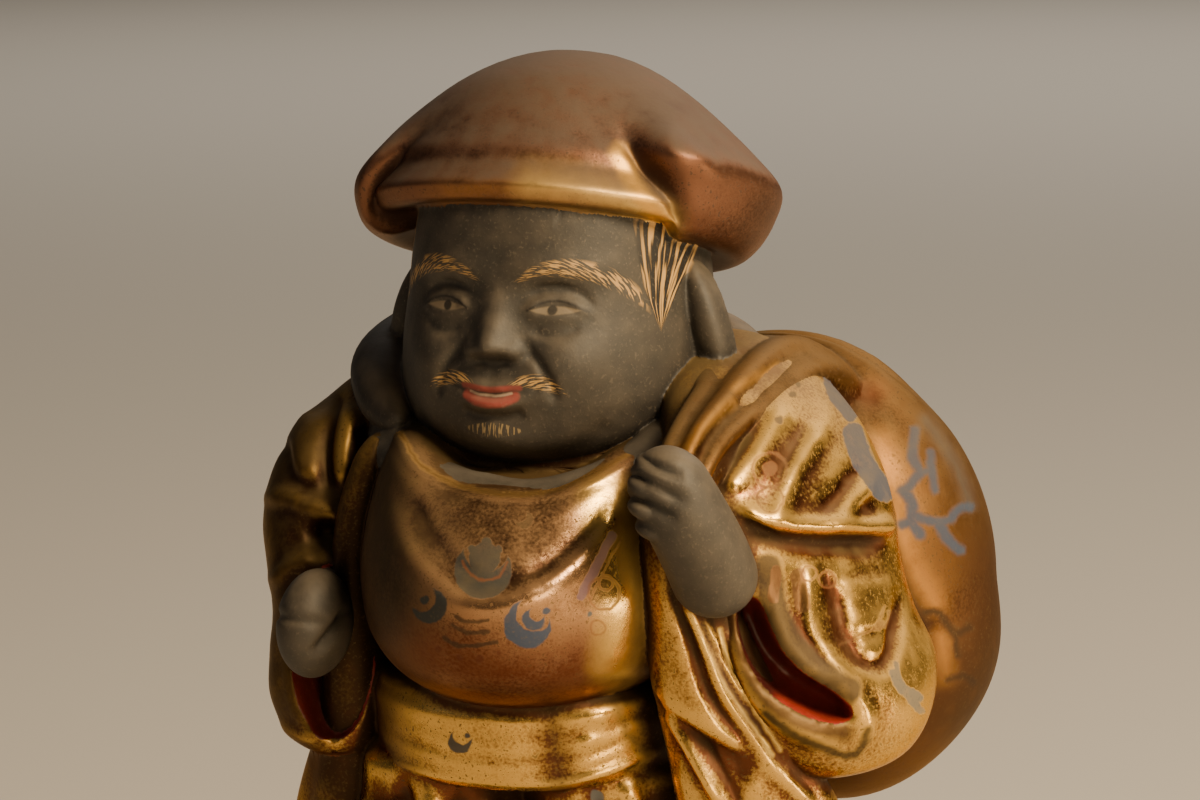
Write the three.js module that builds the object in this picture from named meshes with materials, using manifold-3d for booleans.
// A standing figure of Daikoku, the smiling god of plenty: soft round hat tilted back, heavy
// jowls, a round belly in a scooped front cloth, a sash, an open coat with wide drooping
// sleeves, and a full sack on his back whose gathered neck comes over the left shoulder into
// the left fist. The right fist is empty. The figure is one carved solid and stands on a
// separate low base.
//
// Millimetres, +Z up. The origin is the centre of the base's underside. The figure faces -Y,
// so +X is its own left side, where the sack is.

import * as THREE from "three";
import { mergeVertices } from "three/addons/utils/BufferGeometryUtils.js";
import Module from "manifold-3d";

// Driving sizes.
const FIGURE_HEIGHT = 118; // soles to the crown of the hat
const BASE_HEIGHT = 11;
const BASE_WIDTH = 72;
const BASE_DEPTH = 60;
const BASE_CORNER_RADIUS = 18;
const BASE_STEP = 2.2; // how far the foot of the base stands out past its top slab
const BASE_FOOT_HEIGHT = 4;
const BASE_EDGE_BEVEL = 0.9;
const FIGURE_SHIFT = { x: -3, y: -2 }; // from the middle of the base to the figure's own axis

// The carving is drawn in shares of the figure's height: one share is 1/118 of it.
const SHARES_IN_HEIGHT = 118;
const SHARE = FIGURE_HEIGHT / SHARES_IN_HEIGHT;

const DEGREE = Math.PI / 180;
const TURN = 2 * Math.PI;

const wasm = await Module();
wasm.setup();

const clamp = (x, low, high) => Math.min(high, Math.max(low, x));
const mix = (a, b, t) => a + (b - a) * t;

function smoothstep(from, to, x) {
  const t = clamp((x - from) / (to - from), 0, 1);
  return t * t * (3 - 2 * t);
}

// A soft hill of height 1, `width` from its top to where it has fallen to 1/e.
const hill = (distance, width) => Math.exp(-((distance / width) ** 2));

// A hill on a surface, round or oval.
const mound = (x, z, width, height) => hill(x, width) * hill(z, height);

// Uniform Catmull-Rom through a list of numbers, t from 0 to 1.
function through(values, t) {
  const last = values.length - 1;
  const place = clamp(t, 0, 1) * last;
  const i = Math.min(Math.floor(place), last - 1);
  const s = place - i;
  const b = values[i];
  const c = values[i + 1];
  const a = i > 0 ? values[i - 1] : 2 * b - c;
  const d = i + 2 <= last ? values[i + 2] : 2 * c - b;
  const first = (c - a) / 2;
  const second = (d - b) / 2;
  return (
    (2 * b - 2 * c + first + second) * s ** 3 +
    (3 * c - 3 * b - 2 * first - second) * s ** 2 +
    first * s +
    b
  );
}

const throughPoints = (points, t) =>
  new THREE.Vector3(...[0, 1, 2].map((axis) => through(points.map((p) => p[axis]), t)));

// The drawing plane: the figure as it is seen a little from its left and from above, across
// from its axis and up from its soles. Folds are laid out in it and carved square to the form.
const DRAWING = { turn: 16 * DEGREE, rise: 8 * DEGREE, eye: 450, across: 4.6, up: 80.3 };

function drawn(point) {
  const { turn, rise, eye, across, up } = DRAWING;
  const right = point.x * Math.cos(turn) - point.y * Math.sin(turn);
  const ahead = point.x * Math.sin(turn) + point.y * Math.cos(turn);
  const near = ahead * Math.cos(rise) + point.z * Math.sin(rise);
  const above = point.z * Math.cos(rise) - ahead * Math.sin(rise);
  const scale = eye / (eye - near);
  return [across + (right - across) * scale, up + (above - up) * scale];
}

// Distance in the drawing from a place to a polyline, and how far along it the foot is.
function nearLine([x, y], line) {
  let best = { distance: Infinity, along: 0 };
  for (let i = 0; i + 1 < line.length; i++) {
    const [ax, ay] = line[i];
    const [bx, by] = line[i + 1];
    const length = (bx - ax) ** 2 + (by - ay) ** 2;
    const s = clamp(((x - ax) * (bx - ax) + (y - ay) * (by - ay)) / length, 0, 1);
    const distance = Math.hypot(x - mix(ax, bx, s), y - mix(ay, by, s));
    if (distance < best.distance) best = { distance, along: (i + s) / (line.length - 1) };
  }
  return best;
}

// The sum of folds at a point. Each is a line in the drawing with a height, negative where it
// is a groove, and a width; it fades out at both ends.
function folds(point, list) {
  const place = drawn(point);
  return list.reduce((sum, { line, height, width }) => {
    const { distance, along } = nearLine(place, line);
    const ends = smoothstep(0, 0.2, Math.min(along, 1 - along) + 0.05);
    return sum + height * hill(distance, width) * ends;
  }, 0);
}

// A closed form: the rings of a sphere from its bottom pole (v = 0) to its top pole (v = 1),
// each vertex sent to where place(angle, v) says. Angle 0 is the form's front.
function rings(around, up, place) {
  const geometry = new THREE.SphereGeometry(1, around, up);
  const { position, uv } = geometry.attributes;
  for (let i = 0; i < position.count; i++) {
    const v = clamp(uv.getY(i), 0, 1);
    const u = v === 0 || v === 1 ? 0 : uv.getX(i) % 1;
    position.setXYZ(i, ...place((u - 0.5) * TURN, v).toArray());
  }
  return geometry;
}

// A form drawn in shares, as x to the figure's left, front, and up from the soles, is put in
// the part's frame and made a solid.
function carved(geometry) {
  const { position } = geometry.attributes;
  for (let i = 0; i < position.count; i++) {
    position.setXYZ(
      i,
      FIGURE_SHIFT.x + position.getX(i) * SHARE,
      FIGURE_SHIFT.y - position.getY(i) * SHARE,
      BASE_HEIGHT + position.getZ(i) * SHARE,
    );
  }
  return solid(geometry);
}

function solid(geometry) {
  geometry.deleteAttribute("normal");
  geometry.deleteAttribute("uv");
  const merged = mergeVertices(geometry, 1e-3);
  const vertProperties = merged.attributes.position.array;
  const triVerts = withoutSlivers(merged.index.array);
  const made = new wasm.Manifold(new wasm.Mesh({ numProp: 3, vertProperties, triVerts }));
  if (made.volume() > 0) return made;
  for (let i = 0; i < triVerts.length; i += 3) {
    [triVerts[i + 1], triVerts[i + 2]] = [triVerts[i + 2], triVerts[i + 1]];
  }
  return new wasm.Manifold(new wasm.Mesh({ numProp: 3, vertProperties, triVerts }));
}

// The triangles that still have three corners once the vertices are merged.
function withoutSlivers(index) {
  const kept = [];
  for (let i = 0; i < index.length; i += 3) {
    const [a, b, c] = index.slice(i, i + 3);
    if (a !== b && b !== c && c !== a) kept.push(a, b, c);
  }
  return new Uint32Array(kept);
}

const joined = (solids) => solids.reduce((a, b) => a.add(b));

function geometryOf(made) {
  const mesh = made.getMesh();
  const geometry = new THREE.BufferGeometry();
  geometry.setAttribute("position", new THREE.BufferAttribute(mesh.vertProperties, 3));
  geometry.setIndex(new THREE.BufferAttribute(mesh.triVerts, 1));
  geometry.computeVertexNormals();
  return geometry;
}

// A ball of three radii, leaned sideways and then turned about the vertical.
function ball({ at, radii, turn = 0, lean = 0, pitch = 0, around = 20, up = 14, relief }) {
  const spin = new THREE.Euler(pitch * DEGREE, lean * DEGREE, turn * DEGREE, "ZYX");
  return rings(around, up, (angle, v) => {
    const rise = (v - 0.5) * Math.PI;
    const way = new THREE.Vector3(
      Math.cos(rise) * Math.sin(angle),
      Math.cos(rise) * Math.cos(angle),
      Math.sin(rise),
    );
    const point = way.clone().multiply(new THREE.Vector3(...radii));
    if (relief) point.addScaledVector(way, relief(way));
    return point.applyEuler(spin).add(new THREE.Vector3(...at));
  });
}

// A form built up of level ovals. The lists run from its foot to its top: height, middle, half
// width, and how far it reaches to the front and to the back. Zero half width closes an end.
function stack({ up, x, mid, wide, front, back, turn = 0, around, rows, relief, lift }) {
  const at = (list, v) => (Array.isArray(list) ? through(list, v) : list);
  return rings(around, rows, (angle, v) => {
    const reach = Math.cos(angle) > 0 ? at(front, v) : at(back, v);
    const out = new THREE.Vector3(Math.sin(angle) * at(wide, v), Math.cos(angle) * reach, 0);
    out.applyAxisAngle(new THREE.Vector3(0, 0, 1), -at(turn, v) * DEGREE);
    const centre = new THREE.Vector3(at(x, v), at(mid, v), at(up, v));
    const point = centre.add(out);
    if (lift) point.z += lift(point, v);
    if (relief) point.addScaledVector(out.normalize(), relief(point, angle, v));
    return point;
  });
}

// A form lofted along a spine. `wide` is its half width along the side direction, which is
// square to the spine and to `facing`; `deep` is its half depth along `facing`. Both ends are
// rounded off over the share `blunt` of the length.
function loft({ spine, wide, deep, facing, around = 20, rows = 16, blunt = 0.12, relief }) {
  const face = new THREE.Vector3(...facing);
  return rings(around, rows, (angle, v) => {
    const t = v - (Math.sin(TURN * v) / TURN) * 0.55;
    const centre = throughPoints(spine, t);
    const step = 0.01;
    const way = throughPoints(spine, t + step).sub(throughPoints(spine, t - step)).normalize();
    const side = new THREE.Vector3().crossVectors(face, way).normalize();
    const front = new THREE.Vector3().crossVectors(way, side);
    const toEnd = Math.min(t, 1 - t) / blunt;
    const close = toEnd < 1 ? Math.sqrt(Math.max(0, 1 - (1 - toEnd) ** 2)) : 1;
    const out = new THREE.Vector3()
      .addScaledVector(side, Math.sin(angle) * through(wide, t))
      .addScaledVector(front, Math.cos(angle) * through(deep, t));
    const raised = relief ? relief(centre.clone().add(out), angle, t) : 0;
    out.multiplyScalar(close * (1 + raised / Math.max(out.length(), 0.5)));
    return centre.add(out);
  });
}

// Head and hat share one frame, turned a little to the figure's right.
const HEAD = { x: 1.3, front: 1.5, up: 92, turn: -7 };

function fromHead(side, front, up) {
  const angle = HEAD.turn * DEGREE;
  return new THREE.Vector3(
    HEAD.x + side * Math.cos(angle) + front * Math.sin(angle),
    HEAD.front - side * Math.sin(angle) + front * Math.cos(angle),
    HEAD.up + up,
  );
}

// Head outline from under the chin to the crown: heights over the head's middle, half widths,
// and how far the face and the nape reach.
const HEAD_OUTLINE = {
  up: [-17, -16.2, -13.4, -9.2, -4, 2, 7, 12, 16, 18.5, 19],
  wide: [0, 7.5, 13.6, 16.2, 16.5, 15.8, 15.2, 14.2, 11.5, 7, 0],
  face: [6, 12.5, 16.9, 18.4, 18.1, 17.6, 17.2, 16.2, 13, 8, 4],
  nape: [2, 6, 10.5, 13, 14.2, 14.6, 14.6, 13.5, 11, 7, 4],
};

// The face is a calm one of plain proportions: brow, nose and chin a third apart, the eyes
// halfway up the head, one eye's width apart, and the mouth as wide as the pupils.
const FACE = {
  eye: { side: 6, up: 1.6, wide: 2.9 },
  brow: { side: 6.2, up: 5 },
  noseTip: -3,
  mouth: { up: -7.4, wide: 4.4 },
  chin: -12.6,
  cheek: { side: 8.4, up: -4.4 },
};

function faceRelief(side, up) {
  const { eye, brow, noseTip, mouth, chin, cheek } = FACE;
  const across = Math.abs(side);
  const bridge = smoothstep(brow.up + 1.5, noseTip, up) * smoothstep(noseTip - 2, noseTip - 0.6, up);
  const lip = up - mouth.up - 0.025 * side * side;
  return (
    -1.1 * mound(across - eye.side, up - eye.up - 0.6, 3.2, 2) +
    0.7 * mound(across - eye.side, up - eye.up, eye.wide, 1.2) +
    0.6 * mound(across - brow.side, up - brow.up, 4.6, 1.5) +
    (0.5 + 1.3 * bridge) * hill(side, 1.7) * bridge +
    0.6 * mound(side, up - noseTip, 1.9, 1.4) +
    0.7 * mound(across - 2.3, up - noseTip + 0.3, 1.2, 1) +
    1.5 * mound(across - cheek.side, up - cheek.up, 4.2, 3.6) +
    0.7 * mound(side, up - mouth.up, 4.8, 2.6) +
    0.5 * mound(side, lip - 0.9, mouth.wide, 0.7) +
    0.6 * mound(side, lip + 1, mouth.wide * 0.75, 0.8) -
    0.7 * mound(side, lip, mouth.wide, 0.45) +
    1 * mound(side, up - chin, 3.6, 1.6)
  );
}

function head() {
  const { up, wide, face, nape } = HEAD_OUTLINE;
  return rings(26, 22, (turned, v) => {
    const angle = turned - 0.5 * Math.sin(turned);
    const squarer = (x) => Math.sign(x) * Math.abs(x) ** 0.92;
    const side = squarer(Math.sin(angle)) * through(wide, v);
    const facing = squarer(Math.cos(angle));
    const rise = through(up, v);
    if (facing < 0) return fromHead(side, facing * through(nape, v), rise);
    const relief = facing * faceRelief(side, rise) * smoothstep(0, 0.06, Math.min(v, 1 - v));
    return fromHead(side, facing * through(face, v) + relief, rise);
  });
}

// Long-lobed ears, lying flat along the sides of the head down to the collar.
function ear(sign) {
  return ball({
    at: fromHead(sign * 15.2, 0.6, -1.6).toArray(),
    radii: [2.6, 4.4, 7.6],
    turn: -HEAD.turn - sign * 18,
    lean: sign * -6,
    around: 12,
    up: 8,
  });
}

// The hat lies in a plane tipped back from the brow. At the front its outline is a band that
// flares at the lower edge; at the sides and back it sags out over the band as a pouch. Both
// outlines run from inside the head to the crown, as distance out and height over the plane.
const HAT = {
  tip: 15 * DEGREE,
  side: -0.8,
  front: -2,
  up: 7,
  pouch: {
    out: [0, 9, 14.5, 18.4, 20.8, 22.2, 22.6, 20.2, 16.8, 13, 8.8, 4.6, 0],
    up: [1, 0.4, -0.6, -1.7, -0.5, 1.8, 4.8, 8.2, 11.8, 15, 17.6, 19.1, 19.6],
  },
  band: {
    out: [0, 9, 15, 19, 20, 19.4, 18.7, 17.8, 16, 13.2, 8.8, 4.6, 0],
    up: [2.6, 1.8, 0.9, 0, 1.2, 3.1, 5.4, 7.8, 11, 14.4, 17.3, 19, 19.6],
  },
  pleat: { foot: 55, top: 47, from: 0.3, to: 0.6 },
};

function hat() {
  const { tip, pleat } = HAT;
  return rings(32, 16, (angle, v) => {
    const turned = Math.abs(angle) / DEGREE;
    const edge = mix(pleat.foot, pleat.top, smoothstep(pleat.from, pleat.to, v));
    const soft = mix(10, 24, smoothstep(pleat.to, 1, v));
    const pouch = smoothstep(edge - soft, edge + soft, turned);
    const ridge = 0.5 * hill(turned - edge - 8, 9) * hill(v - 0.52, 0.12);
    const out = mix(through(HAT.band.out, v), through(HAT.pouch.out, v), pouch) + ridge;
    const rise = mix(through(HAT.band.up, v), through(HAT.pouch.up, v), pouch);
    const ahead = Math.cos(angle) * out;
    return fromHead(
      HAT.side + Math.sin(angle) * out,
      HAT.front + ahead * Math.cos(tip) - rise * Math.sin(tip),
      HAT.up + ahead * Math.sin(tip) + rise * Math.cos(tip),
    );
  });
}

// The dark band of the under-robe below the chin, and the thick roll of the coat's collar.
const underCollar = () =>
  loft({
    spine: [
      [1, -10, 84], [-12, -4, 82.4], [-14.6, 7, 78.8], [-9.4, 16.6, 75], [2.4, 21, 73.4],
      [12, 17.6, 75.8], [16.4, 7, 80], [12, -6, 83.6], [1, -10, 84.5],
    ],
    wide: [4, 4, 4, 3.2, 2.6, 3.2, 4, 4, 4],
    deep: [4, 4, 3.4, 2.6, 2.4, 2.6, 3.4, 4, 4],
    facing: [0, 0, 1],
    around: 8,
    rows: 18,
    blunt: 0.02,
  });

const collarRoll = () =>
  loft({
    spine: [
      [-13.6, 14, 79.6], [-16.4, 7, 82.6], [-17.6, -1, 84.8], [-13, -10, 86.6], [1, -14.6, 87.6],
      [14, -10, 87.6], [19.4, -1, 86.6], [18.6, 7, 84.4], [16.6, 14, 82],
    ],
    wide: [2, 4, 5, 5, 5, 5, 4.6, 4, 2.6],
    deep: [2, 3.6, 4.6, 5, 5, 5, 4.4, 3.8, 2.4],
    facing: [0, 0, 1],
    around: 10,
    rows: 16,
    blunt: 0.08,
  });

// Belly and chest under the scooped front cloth: a raised hem along the neckline, and one
// slack fold that hangs across the chest.
const BELLY_FOLDS = [
  { line: [[-14, 69], [-10, 62.5], [-5, 57.6], [1, 57.4], [6, 61], [10, 67]], height: 0.9, width: 2 },
  { line: [[-12.4, 73], [-8, 66], [-3, 61.6], [2.4, 62], [6.4, 67]], height: -0.7, width: 2.2 },
];

const belly = () =>
  stack({
    up: [51.6, 52.2, 54.6, 58.6, 63.6, 68.2, 71.8, 74.4, 75.6, 75.8],
    x: 1,
    mid: 8,
    wide: [0, 9, 14.4, 17.6, 18.6, 18.4, 17.4, 15.6, 10, 0],
    front: [0, 14, 20.4, 23.8, 25.4, 24.2, 21.4, 18.4, 12, 0],
    back: [0, 8, 10, 10, 10, 10, 10, 10, 8, 0],
    around: 24,
    rows: 16,
    lift: (point, v) => 4.4 * smoothstep(0.55, 0.95, v) * smoothstep(3, 16, Math.abs(point.x - 1)),
    relief: (point, angle) => (Math.cos(angle) > 0 ? folds(point, BELLY_FOLDS) : 0),
  });

// Waist sash, dipping at the front under the belly.
const sash = () =>
  stack({
    up: [42.8, 43, 44, 46, 49, 52, 54, 55],
    x: 0.4,
    mid: 4,
    wide: [0, 15, 17.8, 18.4, 18.6, 18.6, 16, 0],
    front: [0, 15, 18.6, 19.6, 20, 20, 17, 0],
    back: [0, 10, 12, 12, 12, 12, 10, 0],
    around: 20,
    rows: 6,
    relief: (point, angle) => 0.35 * Math.cos(angle) * Math.cos(point.z * 1.9),
  });

// The coat: one column of cloth from the shoulders to the hem, open at the front, where the
// belly, sash and trousers stand out of it.
const coat = () =>
  stack({
    up: [13, 13.4, 17, 26, 36, 46, 56, 66, 75, 81, 85, 86.4],
    x: [0, 0, 0, 0, 0, 0, 0, 0.4, 0.8, 1, 1, 1],
    mid: -1,
    wide: [0, 22, 24.4, 23.4, 21.4, 20, 20, 20.6, 20, 17.6, 11, 0],
    front: [0, 6, 8, 9, 10, 11, 13, 14, 14, 11, 6, 0],
    back: [0, 17, 18.6, 17.4, 15.6, 14.6, 15, 15.8, 15.6, 14, 10, 0],
    around: 27,
    rows: 9,
    relief: (point, angle, v) => -0.9 * smoothstep(0.5, 0.1, v) * (1 + Math.cos(9 * angle + 0.6)),
  });

// A front panel of the coat, hanging in long pleats from the chest to the hem.
const coatPanel = ({ spine, wide, deep, facing, pleats, height }) =>
  loft({
    spine,
    wide,
    deep,
    facing,
    around: 16,
    rows: 10,
    blunt: 0.07,
    relief: (point, angle, t) => {
      const across = Math.sin(angle);
      const ripple = Math.cos(pleats * Math.PI * (across + 0.25));
      return Math.cos(angle) > 0 ? height * smoothstep(0, 0.3, t) * ripple : 0;
    },
  });

const leftPanel = () =>
  coatPanel({
    spine: [
      [17.4, 22.6, 76], [18.4, 22.6, 68], [20.6, 20, 58], [24, 17.4, 48], [26.6, 13.6, 38], [28, 10, 27],
      [28.4, 8, 16],
    ],
    wide: [2.4, 3.8, 5.6, 7, 8.4, 9.2, 9.4],
    deep: [3, 4.4, 5, 5, 5, 5, 5],
    facing: [0.35, 1, 0],
    pleats: 2.6,
    height: 0.8,
  });

const rightPanel = () =>
  coatPanel({
    spine: [
      [-15, 13, 79], [-17.4, 12.6, 70], [-18.4, 11.6, 60], [-19.4, 10, 48], [-21.6, 8, 37], [-23, 6.4, 26],
      [-23.6, 5.4, 16],
    ],
    wide: [1.8, 2.6, 2.8, 3.8, 5.4, 6.6, 7.2],
    deep: [2.4, 3.4, 4, 4.4, 4.6, 4.6, 4.6],
    facing: [-0.5, 1, 0],
    pleats: 1.8,
    height: 0.5,
  });

// Right sleeve: it hangs from the shoulder in two soft lobes to a crease in the crook of the
// elbow, and below that runs down to a drooping mouth open to the front round the fist.
const RIGHT_FOLDS = [
  { line: [[-21.8, 80], [-22.6, 74], [-21.8, 69]], height: 1.1, width: 2 },
  { line: [[-25.4, 82], [-26, 75], [-25.2, 69.6]], height: -0.9, width: 1.5 },
  { line: [[-31, 67], [-26, 68], [-22.4, 66.8], [-18, 64.4]], height: 1.1, width: 1.5 },
  { line: [[-27, 63.8], [-24, 64], [-20, 62]], height: -2, width: 2 },
];

const rightSleeve = () =>
  stack({
    up: [43.6, 44, 46, 50, 55, 60, 64, 68, 73, 78, 82, 85, 86.4],
    x: [-21, -21, -21.4, -21.8, -21.8, -22, -22.4, -22.8, -22.4, -20.4, -17.6, -15.6, -15],
    mid: [11, 10, 9, 8.4, 7, 5, 3, 1.6, 0.6, -0.4, -1, -1, -1],
    wide: [0, 3.6, 5.8, 6.8, 7, 7.4, 8.4, 9, 8.8, 8, 6.6, 4, 0],
    front: [0, 4, 6.6, 8.6, 10.4, 12, 12.6, 12.4, 11.6, 10.4, 8.4, 5, 0],
    back: [0, 5, 8, 10, 10.6, 10.6, 10.4, 10, 9.6, 9, 7.6, 5, 0],
    turn: -4,
    around: 18,
    rows: 20,
    relief: (point, angle) => (Math.cos(angle) > -0.3 ? folds(point, RIGHT_FOLDS) : 0),
  });

const rightMouthHollow = () =>
  ball({ at: [-20.2, 17.6, 55.4], radii: [4.4, 8.6, 9.8], pitch: -6, around: 16, up: 10 });

// A closed fist: a rounded block with grooves between the fingers. Each groove is laid along
// one direction of the fist and cut over the side that it names.
const fist = ({ at, radii, turn, lean, pitch = 0, grooves }) =>
  ball({
    at,
    radii,
    turn,
    lean,
    pitch,
    around: 14,
    up: 11,
    relief: (way) =>
      grooves.reduce((sum, { over, across, offset, depth }) => {
        const near = smoothstep(0.3, 0.8, way.dot(new THREE.Vector3(...over).normalize()));
        const off = way.dot(new THREE.Vector3(...across).normalize()) - offset;
        return sum - depth * near * hill(off, 0.12);
      }, 0),
  });

const rightFist = () =>
  fist({
    at: [-19.9, 19.2, 59.6],
    radii: [4.7, 5.4, 6.2],
    turn: 8,
    lean: 4,
    grooves: [
      { over: [-0.3, 0.9, 0.1], across: [0, 0, 1], offset: 0.1, depth: 0.6 },
      { over: [0.7, 0.7, 0], across: [-0.8, 0, 0.6], offset: -0.3, depth: 0.7 },
    ],
  });

const rightForearm = () =>
  loft({
    spine: [[-21.6, 2, 62], [-20.6, 10, 61], [-19.4, 18, 59.8]],
    wide: [3.6, 3.6, 3.6],
    deep: [4.6, 4.8, 5],
    facing: [0, 0, 1],
    around: 12,
    rows: 6,
    blunt: 0.1,
  });

// Left sleeve: slanting folds run up to the shoulder from the raised wrist, over a sharp level
// crease; below it the sleeve hangs as a deep bag with a U-shaped fold and a slanting mouth.
const LEFT_FOLDS = [
  { line: [[18, 71], [20.6, 75.6], [23.6, 81]], height: 1.2, width: 1.5 },
  { line: [[24.6, 67.6], [26, 72], [28.6, 77.4]], height: 1.4, width: 1.4 },
  { line: [[30.4, 66.8], [32.6, 69.6], [34.4, 71.6]], height: 1.2, width: 1.3 },
  { line: [[19.8, 67.6], [26, 66.6], [31, 66.6], [36, 66.4]], height: 1.2, width: 1.7 },
  { line: [[20, 64.8], [25, 63.8], [31, 64], [36, 64.2]], height: -1.1, width: 1.8 },
  { line: [[28.2, 61], [28.6, 57], [31, 53], [34.4, 51.4], [36.8, 54], [37.2, 60]], height: -0.8, width: 1.4 },
];

const leftSleeve = () =>
  stack({
    up: [44.6, 45, 47, 51, 56, 61, 66, 71, 76, 81, 85.6, 88.4, 89.4],
    x: [32, 32, 32.6, 32.8, 32.4, 30.6, 29.2, 28, 26.4, 23.4, 19.6, 17, 16],
    mid: [9, 9, 8, 7, 6, 5.6, 5.4, 5.4, 4.4, 2, 0, -2, -2],
    wide: [0, 4.6, 7.6, 9.2, 9.4, 8.6, 8.4, 9, 9.2, 9, 8, 5, 0],
    front: [0, 6, 10.4, 14, 16.4, 17, 17.6, 19.6, 19, 16, 11, 6, 0],
    back: [0, 6, 9, 11, 12, 12, 12, 12, 11.4, 10.4, 8.6, 5, 0],
    turn: [-16, -16, -18, -20, -20, -18, -18, -20, -18, -14, -10, -6, -6],
    around: 24,
    rows: 26,
    relief: (point, angle) => (Math.cos(angle) > -0.5 ? folds(point, LEFT_FOLDS) : 0),
  });

const leftMouthHollow = () =>
  loft({
    spine: [[27.4, 22.6, 66], [29, 21.6, 62], [31.6, 20.2, 57], [34.6, 18.4, 53], [37.4, 16.4, 50.2]],
    wide: [1.4, 2.2, 2.5, 2.3, 1.4],
    deep: [4, 6, 6.5, 6, 3.5],
    facing: [0.3, 0.95, 0],
    around: 14,
    rows: 10,
    blunt: 0.14,
  });

const leftForearm = () =>
  loft({
    spine: [[29, 16, 63.6], [26.8, 23.8, 65.4], [24.9, 28, 69.8], [21.8, 30, 76.4]],
    wide: [4, 4.9, 5, 4.6],
    deep: [3.8, 4.6, 4.6, 4.4],
    facing: [0, 1, 0],
    around: 14,
    rows: 9,
    blunt: 0.16,
  });

const leftFist = () =>
  fist({
    at: [20.9, 30, 77.4],
    radii: [4.6, 4.8, 5],
    turn: 16,
    lean: 20,
    grooves: [-0.4, 0.05, 0.5].map((offset) => ({
      over: [-0.8, 0.5, 0],
      across: [-0.2, 0, 1],
      offset,
      depth: 0.7,
    })),
  });

// The sack: a full round bag behind the left shoulder, gathered to a neck that comes over the
// shoulder into the left fist.
const sack = () =>
  ball({
    at: [20.4, -16.4, 61.4],
    radii: [24.2, 19, 25.6],
    lean: -14,
    around: 27,
    up: 11,
    relief: (way) => {
      const round = Math.atan2(way.x, way.y);
      return 1.2 * smoothstep(0.35, 1, way.z) * Math.cos(9 * round) * (1 - way.z ** 8);
    },
  });

const sackNeck = () =>
  loft({
    spine: [[24, -15, 79], [23.6, -7, 83], [22.6, 3, 84], [21.6, 13, 81.6], [20.8, 22, 79], [20, 27, 75]],
    wide: [9, 6.8, 5.6, 4.4, 3.4, 3],
    deep: [7, 5, 3.8, 3.4, 3.4, 3.4],
    facing: [0.3, 0, 1],
    around: 10,
    rows: 8,
    blunt: 0.08,
    relief: (point, angle, t) => 0.5 * Math.cos(5 * angle) * smoothstep(0, 0.5, t),
  });

// Trousers that balloon over the knees and are gathered below them, and plain boots.
const trouserLeg = (sign) =>
  stack({
    up: [14.6, 15.2, 17.4, 22, 28, 34, 40, 46, 50],
    x: [9, 9, 9.2, 9.8, 10, 9.6, 9, 8, 7.4].map((x) => x * sign),
    mid: [4.6, 4.6, 4.8, 5.4, 5.8, 5.4, 4.6, 4, 4],
    wide: [0, 5, 6.4, 9, 10.4, 10.6, 10.4, 9.8, 0],
    front: [0, 5.4, 7, 10.4, 13, 14.4, 14.8, 14.6, 0],
    back: [0, 5, 6, 8, 9, 9.6, 9.6, 9.6, 0],
    around: 16,
    rows: 11,
    relief: (point, angle, v) =>
      0.6 * Math.cos(8 * angle + 0.5) * hill(v - 0.12, 0.16) +
      0.8 * Math.cos(7 * angle + sign) * smoothstep(0.45, 0.85, v),
  });

const boot = (sign) =>
  joined([
    carved(
      stack({
        up: [-3, -2.6, 4, 9, 14, 18, 19],
        x: sign * 8.8,
        mid: 4.4,
        wide: [0, 5.4, 5.2, 4.8, 5, 5.2, 0],
        front: [0, 6, 5.6, 5, 5.2, 5.6, 0],
        back: [0, 6, 5.6, 5, 5.2, 5.6, 0],
        around: 12,
        rows: 5,
      }),
    ),
    carved(
      ball({ at: [sign * 9.4, 10, 2.2], radii: [5.6, 10.6, 4.6], turn: sign * -8, around: 14, up: 7 }),
    ),
  ]);

// The solid heart of the chest, under the collars, the sleeves and the front cloth.
const heart = () => ball({ at: [1.6, 0.6, 77], radii: [20.5, 15, 10], around: 16, up: 10 });

// Everything below the soles is cut off flat.
function belowSoles() {
  const reach = 2 * FIGURE_HEIGHT;
  const block = new THREE.BoxGeometry(reach, reach, BASE_HEIGHT);
  block.translate(0, 0, BASE_HEIGHT / 2);
  return solid(block);
}

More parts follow.
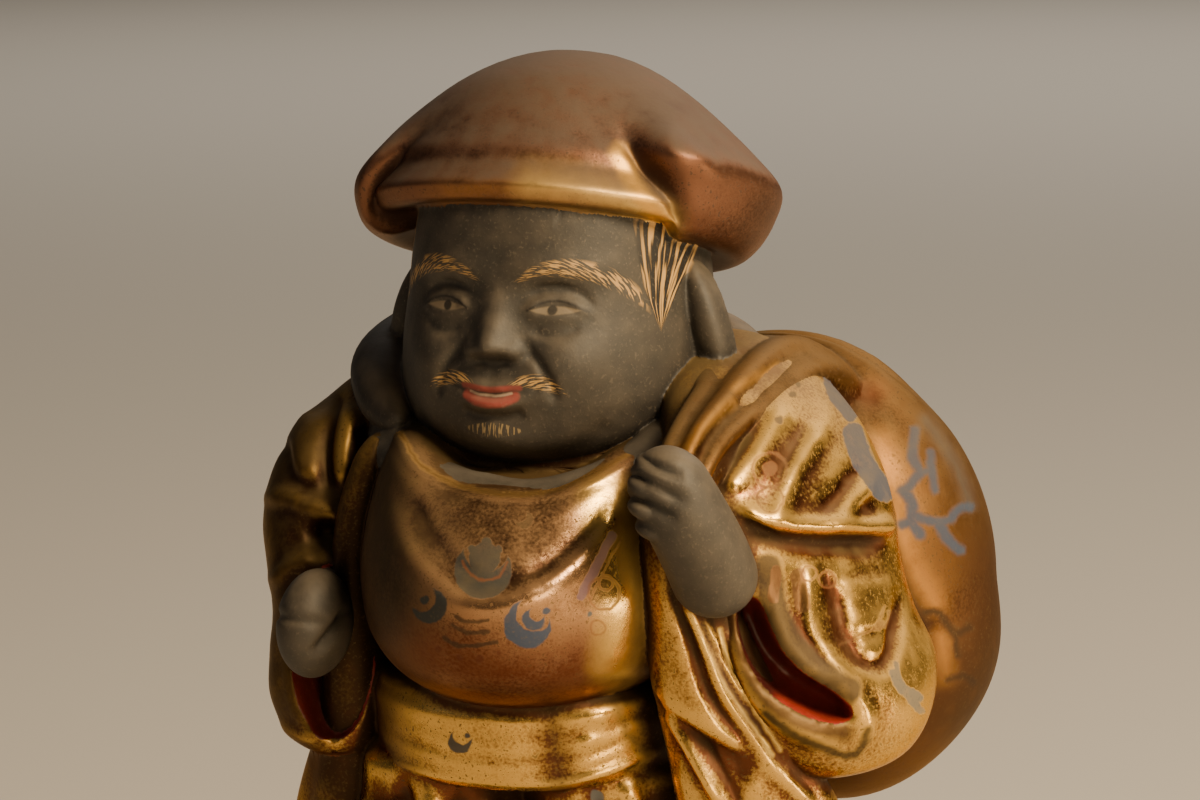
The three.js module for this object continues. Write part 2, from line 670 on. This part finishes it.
function figure() {
  const forms = [
    head(), ear(1), ear(-1), hat(), underCollar(), collarRoll(), belly(), sash(), coat(),
    leftPanel(), rightPanel(), sack(), sackNeck(), trouserLeg(1), trouserLeg(-1), heart(),
  ].map(carved);
  const sleeves = [
    carved(rightSleeve()).subtract(carved(rightMouthHollow())),
    carved(leftSleeve()).subtract(carved(leftMouthHollow())),
  ];
  const arms = [rightForearm(), rightFist(), leftForearm(), leftFist()].map(carved);
  const whole = joined([...forms, ...sleeves, ...arms, boot(1), boot(-1)]);
  return geometryOf(whole.subtract(belowSoles()));
}

// The base: a low slab with round corners on a slightly wider foot.
function roundedOutline(width, depth, radius) {
  const shape = new THREE.Shape();
  const x = width / 2 - radius;
  const y = depth / 2 - radius;
  shape.absarc(x, y, radius, 0, TURN / 4);
  shape.absarc(-x, y, radius, TURN / 4, TURN / 2);
  shape.absarc(-x, -y, radius, TURN / 2, (3 * TURN) / 4);
  shape.absarc(x, -y, radius, (3 * TURN) / 4, TURN);
  shape.closePath();
  return shape;
}

function slab(width, depth, radius, low, high) {
  const bevel = BASE_EDGE_BEVEL;
  const outline = roundedOutline(width - 2 * bevel, depth - 2 * bevel, radius - bevel);
  const geometry = new THREE.ExtrudeGeometry(outline, {
    depth: high - low - 2 * bevel,
    bevelThickness: bevel,
    bevelSize: bevel,
    bevelSegments: 1,
    curveSegments: 4,
  });
  return solid(geometry.translate(0, 0, low + bevel));
}

function base() {
  const foot = slab(BASE_WIDTH, BASE_DEPTH, BASE_CORNER_RADIUS, 0, BASE_FOOT_HEIGHT);
  const top = slab(
    BASE_WIDTH - 2 * BASE_STEP,
    BASE_DEPTH - 2 * BASE_STEP,
    BASE_CORNER_RADIUS - BASE_STEP,
    BASE_FOOT_HEIGHT - 2 * BASE_EDGE_BEVEL,
    BASE_HEIGHT,
  );
  return geometryOf(foot.add(top));
}

const giltWood = new THREE.MeshStandardMaterial({
  name: "gilded_lacquered_wood",
  color: 0xa8743a,
  roughness: 0.42,
  metalness: 0.75,
});
const darkLacquer = new THREE.MeshStandardMaterial({
  name: "dark_lacquered_wood",
  color: 0x2a1d17,
  roughness: 0.35,
  metalness: 0,
});

function piece(name, geometry, material) {
  const mesh = new THREE.Mesh(geometry, material);
  mesh.name = name;
  return mesh;
}

const part = new THREE.Group();
part.name = "daikoku";
part.add(piece("figure", figure(), giltWood));
part.add(piece("base", base(), darkLacquer));

export default part;
